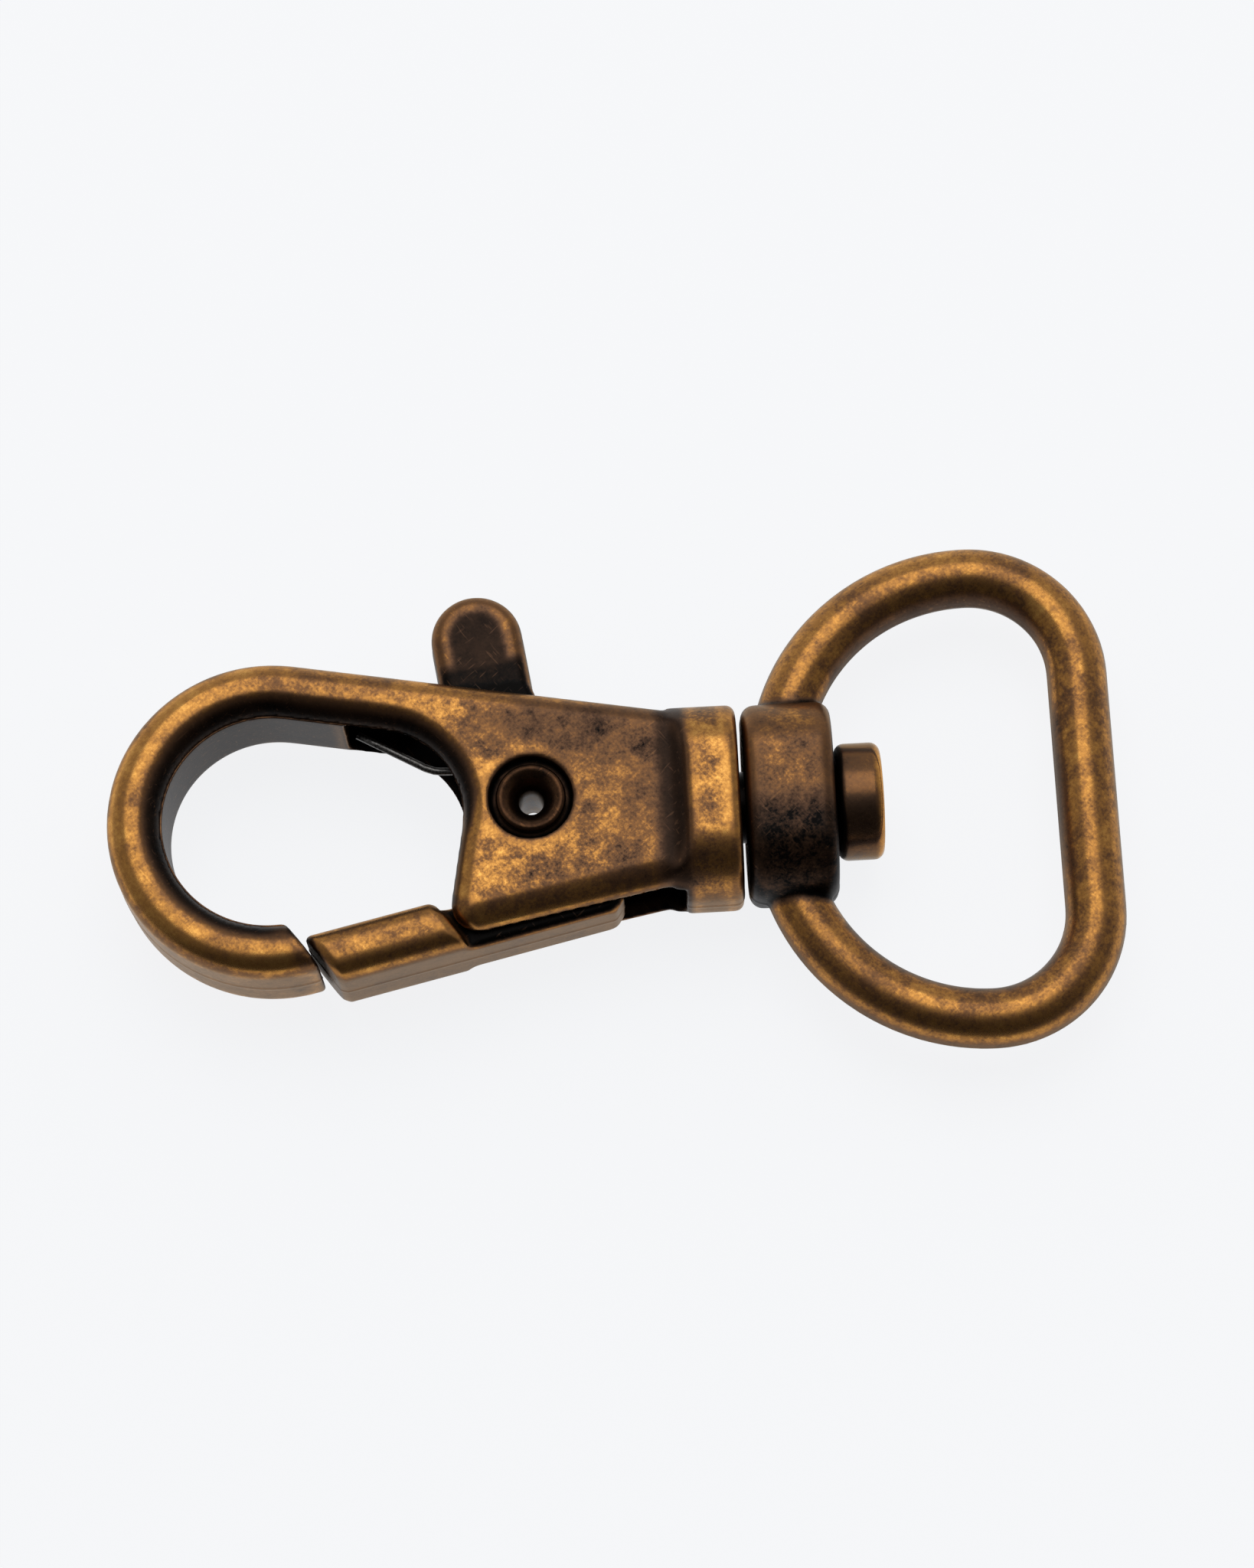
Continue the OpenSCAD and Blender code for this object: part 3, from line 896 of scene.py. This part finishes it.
@dataclass
class StrapEye(Casting):
    """The D-shaped eye with its barrel."""

    bore_r: float = 1.87
    bore_slack: float = 0.2
    barrel_end: float = 11.2
    barrel_fade: Span = (0.6, -0.2)
    barrel_side: Span = (5.6, 4.9)
    barrel_patina: float = 0.16
    # The barrel's low side gets painted shade
    low_shade_over: Span = (0.6, -1.6)
    low_shade: float = 0.32
    end_r: float = 4.4
    end_facing: Span = (0.75, 0.98)
    opening_mid: float = 17.0
    inner_facing: Span = (0.35, 0.95)
    inner_keeps: float = 0.84

    def tone(self, skin: Skin) -> np.ndarray:
        """Leaves the barrel darker than the wire, and paints shade on its low side.

        Args:
            skin: The eye's skin.

        Returns:
            How much blackening the open faces keep, with the painted shade.
        """
        x, y, _ = skin.points.T
        barrel = smoothstep(self.barrel_end + self.barrel_fade[0], self.barrel_end + self.barrel_fade[1], x)
        barrel *= smoothstep(*self.barrel_side, np.abs(y))
        # Painted shade: the barrel darkens towards its low side
        extra = self.barrel_patina + self.low_shade * smoothstep(*self.low_shade_over, y)
        return self.base_patina + extra * barrel

    def recess(self, skin: Skin) -> np.ndarray:
        """Keeps the bore, the barrel's end faces and the wire's inner side dark.

        Args:
            skin: The eye's skin.

        Returns:
            How much blackening each of these places keeps, and 0 elsewhere.
        """
        x, y, z = skin.points.T
        off_axis = np.hypot(y, z)
        barrel = x < self.barrel_end
        in_bore = barrel * (off_axis < self.bore_r + self.bore_slack)
        ends = np.abs(skin.normals[:, 0]) * barrel * (off_axis < self.end_r)
        on_ends = smoothstep(*self.end_facing, ends)
        inside = smoothstep(*self.inner_facing, skin.facing(self.opening_mid) * ~barrel) * self.inner_keeps
        return np.maximum.reduce([on_ends, in_bore, inside])


@dataclass
class Turned(Piece):
    """A turned piece: rings extruded one from another along the axis, with end faces unless it is a tube."""

    sides: int = 72
    tube: bool = False

    def profile(self) -> list[Span]:
        """Gives the rings as radius and height in millimetres."""
        raise NotImplementedError

    def place(self) -> Matrix:
        """Gives the turn and the move from the lathe's Z axis to the piece's place."""
        return Matrix.Identity(4)

    def build(self) -> bpy.types.Object:
        """Turns the profile, which on a tube runs back to its start.

        Returns:
            The turned piece in millimetres.
        """
        rings = self.profile()
        deselect()
        radius, height = rings[0]
        bpy.ops.mesh.primitive_circle_add(vertices=self.sides, radius=radius, location=(0, 0, 0))
        piece = bpy.context.active_object
        piece.data.transform(Matrix.Translation((0, 0, height)))
        edit_all(piece)
        if not self.tube:
            bpy.ops.mesh.edge_face_add()
        for to_radius, to_height in rings[1:]:
            bpy.ops.mesh.extrude_region_move(TRANSFORM_OT_translate={"value": (0, 0, to_height - height)})
            wide = to_radius / radius
            bpy.ops.transform.resize(value=(wide, wide, 1), center_override=(0, 0, to_height))
            radius, height = to_radius, to_height
        bpy.ops.mesh.select_all(action="SELECT")
        bpy.ops.mesh.remove_doubles(threshold=WELD_MM)
        bpy.ops.mesh.normals_make_consistent(inside=False)
        bpy.ops.object.mode_set(mode="OBJECT")
        piece.data.transform(self.place())
        return piece


def bend(middle: Span, radius: float, start: float, stop: float, steps: int) -> list[Span]:
    """Gives points of a rounded corner in a profile.

    Args:
        middle: The corner's centre as radius and height.
        radius: The corner's radius.
        start: First angle in degrees, 0 outwards and 90 up.
        stop: Last angle.
        steps: Steps between them.

    Returns:
        Points as radius and height.
    """
    angles = [math.radians(start + (stop - start) * i / steps) for i in range(steps + 1)]
    return [(middle[0] + radius * math.cos(a), middle[1] + radius * math.sin(a)) for a in angles]


@dataclass
class SwivelPin(Turned):
    """The headed pin that the eye turns on."""

    # From the spread tail along the shank to the head, whose top is dished: steps in from its rim, and down
    tail: Span = (2.605, 3.405)
    tail_r: float = 2.35
    tail_edge: Span = (0.3, 0.2)
    shank_r: float = 1.8
    shank_rings: tuple[float, ...] = (4.6, 6.4, 8.8)
    head: Span = (11.175, 13.475)
    head_r: float = 2.95
    edge_r: float = 0.5
    edge_steps: int = 6
    dish: tuple[Span, ...] = ((0.9, 0.0), (1.1, 0.06), (2.05, 0.1))
    # The patina: the head's rim is rubbed bright, partly as a painted reflection, its low side gets painted
    # shade, and the shank is paler in the gap
    base_patina: float = 0.78
    wear: float = 0.1
    rim: Span = (0.45, 0.2)
    rim_rub_and_highlight: float = 0.45
    low_shade_over: Span = (0.2, -1.2)
    low_shade: float = 0.12
    inner: Span = (0.55, 0.2)
    inner_keeps: float = 0.9
    gap: Span = (5.9, 7.0)
    gap_keeps: float = 0.45

    def tone(self, skin: Skin) -> np.ndarray:
        """Rubs the head's outer rim bright, partly as a painted reflection, and paints shade on its low
        side.

        Args:
            skin: The pin's skin.

        Returns:
            How much blackening the open faces keep, with the painted reflection and shade.
        """
        x, y, _ = skin.points.T
        # A rubbed rim that is partly a painted reflection, and painted shade on the head's low side
        rub_and_highlight = self.rim_rub_and_highlight * smoothstep(self.head[1] - self.rim[0], self.head[1] - self.rim[1], x)
        return self.base_patina - rub_and_highlight + self.low_shade * smoothstep(*self.low_shade_over, y)

    def profile(self) -> list[Span]:
        """Runs from the riveted tail along the shank to the rounded head.

        Returns:
            The rings as radius and height.
        """
        low, high = self.head
        edge = self.edge_r
        return [
            (self.tail_r - self.tail_edge[0], self.tail[0]),
            (self.tail_r, self.tail[0] + self.tail_edge[1]),
            (self.tail_r, self.tail[1]),
            *((self.shank_r, height) for height in (self.tail[1], *self.shank_rings, low)),
            *bend((self.head_r - edge, low + edge), edge, -90, 0, self.edge_steps),
            *bend((self.head_r - edge, high - edge), edge, 0, 90, self.edge_steps),
            *((self.head_r - inwards, high - down) for inwards, down in self.dish)]

    def place(self) -> Matrix:
        """Lays the axis along X."""
        return Matrix.Rotation(math.radians(90), 4, "Y")

    def recess(self, skin: Skin) -> np.ndarray:
        """Keeps the shank, the tail and the under side of the head dark.

        Args:
            skin: The pin's skin.

        Returns:
            How much blackening each of these places keeps, and 0 elsewhere.
        """
        x = skin.points[:, 0]
        within = smoothstep(self.head[0] + self.inner[0], self.head[0] + self.inner[1], x)
        in_gap = (x > self.gap[0]) & (x < self.gap[1])
        return within * np.where(in_gap, self.gap_keeps, self.inner_keeps)


@dataclass
class PivotRivet(Turned):
    """The tubular rivet, its rims rolled over in the counterbores."""

    tube: bool = True
    tube_r: float = 1.5
    bore_r: float = 0.62
    waist_z: float = 1.2
    rim_r: float = 1.75
    rim_edge: float = 0.05
    rim_z: float = 2.67
    top_z: float = 3.139
    roll: float = 0.24
    roll_steps: int = 6
    # The bore's funnel: steps out from the bore, and down from the top
    mouth: tuple[Span, ...] = (
        (0.75, 0.03), (0.58, 0.14), (0.4, 0.34), (0.22, 0.6), (0.08, 0.85), (0.0, 1.1))
    base_patina: float = 1.0
    wear: float = 0.16

    def profile(self) -> list[Span]:
        """Goes up the tube's outside, over the rolled rim, down the bore and back over the lower rim.

        Returns:
            The rings as radius and height.
        """
        upper = [
            (self.tube_r, self.rim_z),
            (self.rim_r - self.rim_edge, self.rim_z),
            *bend((self.rim_r - self.roll, self.top_z - self.roll), self.roll, 0, 90, self.roll_steps),
            *((self.bore_r + out, self.top_z - down) for out, down in self.mouth)]
        waist = [(self.bore_r, self.waist_z), (self.bore_r, -self.waist_z)]
        lower = [(radius, -height) for radius, height in reversed(upper)]
        start = (self.tube_r, 0.0)
        return [start, *upper, *waist, *lower, (self.tube_r, -self.waist_z), start]

    def place(self) -> Matrix:
        """Stands the rivet on the pivot."""
        return Matrix.Translation((*PIVOT, 0))


@dataclass
class GateSpring(Piece):
    """The torsion spring round the rivet, one leg under the spine and one on the lever."""

    wire_r: float = 0.2
    wire_rings: int = 4
    coil_r: float = 2.03
    pitch: float = 0.82
    turns: float = 2.5
    steps: int = 28
    # The straight foot, and the other leg's knee and tip, with the shares of each run that get a point
    foot: float = -3.6
    foot_points: int = 10
    foot_share: float = 0.94
    knee: Span = (-4.9, 2.18)
    knee_shares: tuple[float, ...] = (0.2, 0.4, 0.6, 0.8, 0.92)
    knee_round: Span = (0.03, 0.02)
    tip: Span = (-8.6, 4.28)
    tip_shares: tuple[float, ...] = (0.1, 0.3, 0.5, 0.75, 1.0)

    def path(self) -> list[tuple[float, float, float]]:
        """Follows the wire from the foot round the coil to the tip.

        Returns:
            Points in millimetres about the pivot.
        """
        rise = self.pitch * self.turns
        count = round(self.turns * self.steps)
        shares = np.linspace(0, self.foot_share, self.foot_points)
        foot = [(self.foot * (1 - share), -self.coil_r, -rise / 2) for share in shares]
        coil = []
        for i in range(count + 1):
            angle = 2 * math.pi * self.turns * i / count
            height = rise * (i / count - 0.5)
            coil.append((self.coil_r * math.sin(angle), -self.coil_r * math.cos(angle), height))
        top, knee, tip = np.array([0.0, self.coil_r]), np.array(self.knee), np.array(self.tip)
        back, on = self.knee_round
        leg = [top + (knee - top) * share for share in self.knee_shares]
        leg += [knee + (top - knee) * back + (tip - knee) * on]
        leg += [knee + (tip - knee) * share for share in self.tip_shares]
        return foot + coil + [(x, y, rise / 2) for x, y in leg]

    def build(self) -> bpy.types.Object:
        """Draws the wire as a round tube along its path.

        Returns:
            The spring in millimetres.
        """
        line = bpy.data.curves.new(self.name, "CURVE")
        line.dimensions = "3D"
        line.bevel_depth = self.wire_r
        line.bevel_resolution = self.wire_rings
        line.use_fill_caps = True
        run = self.path()
        spline = line.splines.new("POLY")
        spline.points.add(len(run) - 1)
        for point, (x, y, z) in zip(spline.points, run):
            point.co = (x + PIVOT[0], y + PIVOT[1], z, 1)
        drawn = bpy.data.objects.new(self.name, line)
        bpy.context.scene.collection.objects.link(drawn)
        pick(drawn)
        bpy.ops.object.convert(target="MESH")
        piece = bpy.context.active_object
        edit_all(piece)
        bpy.ops.mesh.remove_doubles(threshold=WELD_MM)
        bpy.ops.mesh.normals_make_consistent(inside=False)
        bpy.ops.object.mode_set(mode="OBJECT")
        return piece

    def seat(self, piece: bpy.types.Object) -> None:
        """Leaves the spring fixed in place, on no body, and hides its CAD node.

        Args:
            piece: The spring in metres.
        """
        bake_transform(piece)
        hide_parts(self.node)


@dataclass
class Studio:
    """White floor, one large softbox above and behind, and the camera, with places in metres."""

    # The camera: angles in degrees, its distance, and how far off the picture's centre the aim point lies
    tilt: float = 16.0
    roll: float = 3.0
    lens_mm: float = 100.0
    sensor_mm: float = 36.0
    clip: Span = (0.01, 10.0)
    distance: float = 0.219
    aim: tuple[float, float, float] = (0.006325, 0.0, 0.0)
    off_axis: Span = (0.02584, -0.005484)
    # The softbox
    box_size: Span = (0.34, 0.34)
    box_tilt: float = 24.0
    box_distance: float = 0.45
    box_radiance: float = 1.5
    # The room: its brightness from before the object to behind it, with the sides counted partly as behind
    room_over: Span = (-0.4, 1.0)
    room_dark: float = 0.08
    room_bright: float = 0.75
    side_share: float = 0.35
    # The floor: how much of what is seen of it glows, and how brightly
    floor_size: float = 6.0
    floor_white: str = "#F8F9FB"
    floor_glow: float = 1.075
    floor_share: float = 0.84

    def camera(self) -> None:
        """Stands the camera at the photograph's angle, with the aim point off centre as there."""
        tilt, roll = math.radians(self.tilt), math.radians(self.roll)
        back = Vector((0, -math.sin(tilt), math.cos(tilt)))
        level = Vector((1, 0, 0))
        upright = back.cross(level)
        right = level * math.cos(roll) - upright * math.sin(roll)
        up = level * math.sin(roll) + upright * math.cos(roll)
        offset = (right * self.off_axis[0] + up * self.off_axis[1] - back) * self.distance
        lens = bpy.data.cameras.new("camera")
        lens.lens = self.lens_mm
        lens.sensor_width = self.sensor_mm
        lens.clip_start, lens.clip_end = self.clip
        camera = bpy.data.objects.new("camera", lens)
        bpy.context.scene.collection.objects.link(camera)
        turn = Matrix((right, up, back)).transposed()
        camera.matrix_world = Matrix.Translation(Vector(self.aim) - offset) @ turn.to_4x4()
        bpy.context.scene.camera = camera

    def lights(self) -> None:
        """Hangs the softbox and sets the room: pale behind, dimmer to the sides, dark before the object."""
        tilt = math.radians(self.box_tilt)
        lamp = bpy.data.lights.new("softbox", "AREA")
        lamp.shape = "RECTANGLE"
        lamp.size, lamp.size_y = self.box_size
        lamp.energy = self.box_radiance * math.pi * self.box_size[0] * self.box_size[1]
        softbox = bpy.data.objects.new("softbox", lamp)
        bpy.context.scene.collection.objects.link(softbox)
        softbox.location = (0, math.sin(tilt) * self.box_distance, math.cos(tilt) * self.box_distance)
        softbox.rotation_euler = (-tilt, 0, 0)
        world = bpy.data.worlds.new("studio")
        world.use_nodes = True
        bpy.context.scene.world = world
        tree = world.node_tree
        tree.nodes.clear()
        way = add(tree, "TexCoord").outputs["Generated"]
        split = add(tree, "SeparateXYZ", {}, {0: way})
        side = add(tree, "Math", {"operation": "ABSOLUTE"}, {0: split.outputs["X"]})
        behind = add(tree, "Math", {"operation": "MULTIPLY_ADD", 1: self.side_share}, {
            0: side.outputs[0], 2: split.outputs["Y"]})
        level = add(tree, "MapRange", {
            "From Min": self.room_over[0], "From Max": self.room_over[1],
            "To Min": self.room_dark, "To Max": self.room_bright}, {"Value": behind.outputs[0]})
        glow = add(tree, "Background", {}, {"Strength": level.outputs["Result"]})
        add(tree, "OutputWorld", {}, {"Surface": glow.outputs[0]})

    def floor(self) -> None:
        """Lays the floor, which shows white to the camera and in the metal and keeps a faint shadow."""
        deselect()
        bpy.ops.mesh.primitive_plane_add(size=self.floor_size, location=(0, 0, 0))
        sweep = bpy.context.active_object
        sweep.name = "floor"
        sweep.data.transform(Matrix.Translation((0, 0, FLOOR_Z * MM)))
        # To the eye: an even matt white
        white = blank_material("matt_white_card")
        tree = white.node_tree
        rays = add(tree, "LightPath").outputs
        seen = rays["Is Camera Ray"]
        for kind in ("Is Glossy Ray", "Is Transmission Ray"):
            seen = add(tree, "Math", {"operation": "MAXIMUM"}, {0: seen, 1: rays[kind]}).outputs[0]
        share = add(tree, "Math", {"operation": "MULTIPLY", 1: self.floor_share}, {0: seen})
        colour = linear(self.floor_white)
        matt = add(tree, "BsdfDiffuse", {"Color": colour})
        glow = add(tree, "Emission", {"Color": colour, "Strength": self.floor_glow})
        both = add(tree, "MixShader", {}, {0: share.outputs[0], 1: matt.outputs[0], 2: glow.outputs[0]})
        add(tree, "OutputMaterial", {}, {"Surface": both.outputs[0]})
        sweep.data.materials.append(white)


def clear_start_scene() -> None:
    """Removes what a new Blender file holds besides the frame."""
    keep = {*frame["nodes"].values(), *frame["bodies"].values()}
    for item in list(bpy.data.objects):
        if item not in keep:
            bpy.data.objects.remove(item)


def main() -> None:
    """Sets the studio and builds the pieces in order."""
    logging.basicConfig(level=logging.INFO, format="%(name)s: %(message)s")
    clear_start_scene()
    bpy.context.scene.view_settings.view_transform = "Standard"
    studio = Studio()
    studio.camera()
    studio.lights()
    studio.floor()
    cast = AntiqueBrass("antique_brass_plate").material()
    turned = AntiqueBrass(
        "antique_brass_turned", rough_worn=0.13, rough_black=0.3,
        mottle=Layer(0.7, 4.0, 0.7, 2.2)).material()
    blackened = AntiqueBrass("blackened_rivet_brass", rough_black=0.36, coat_worn=0.3).material()
    wire = SpringSteel("spring_steel_wire").material()
    HookBody(
        "cast_hook", "hook_body", Body.HOOK, Slot.BRASS,
        base_patina=0.51, margin_wear=0.25, side_patina=0.1, voxel_mm=0.132).make(cast)
    Trigger(
        "cast_trigger", "trigger_gate", Body.TRIGGER, Slot.BRASS,
        mottling=0.38, voxel_mm=0.1, soften=140).make(cast)
    StrapEye(
        "cast_strap_eye", "swivel_eye", Body.EYE, Slot.BRASS,
        base_patina=0.43, mottling=0.44, melt=10, soften=60).make(cast)
    SwivelPin("turned_swivel_pin", "swivel_pin", Body.HOOK, Slot.PIN).make(turned)
    PivotRivet("tubular_rivet", "pivot_rivet", Body.HOOK, Slot.PIN).make(blackened)
    GateSpring("torsion_spring", "gate_spring", Body.HOOK, Slot.STEEL).make(wire)


if __name__ == "__main__":
    main()
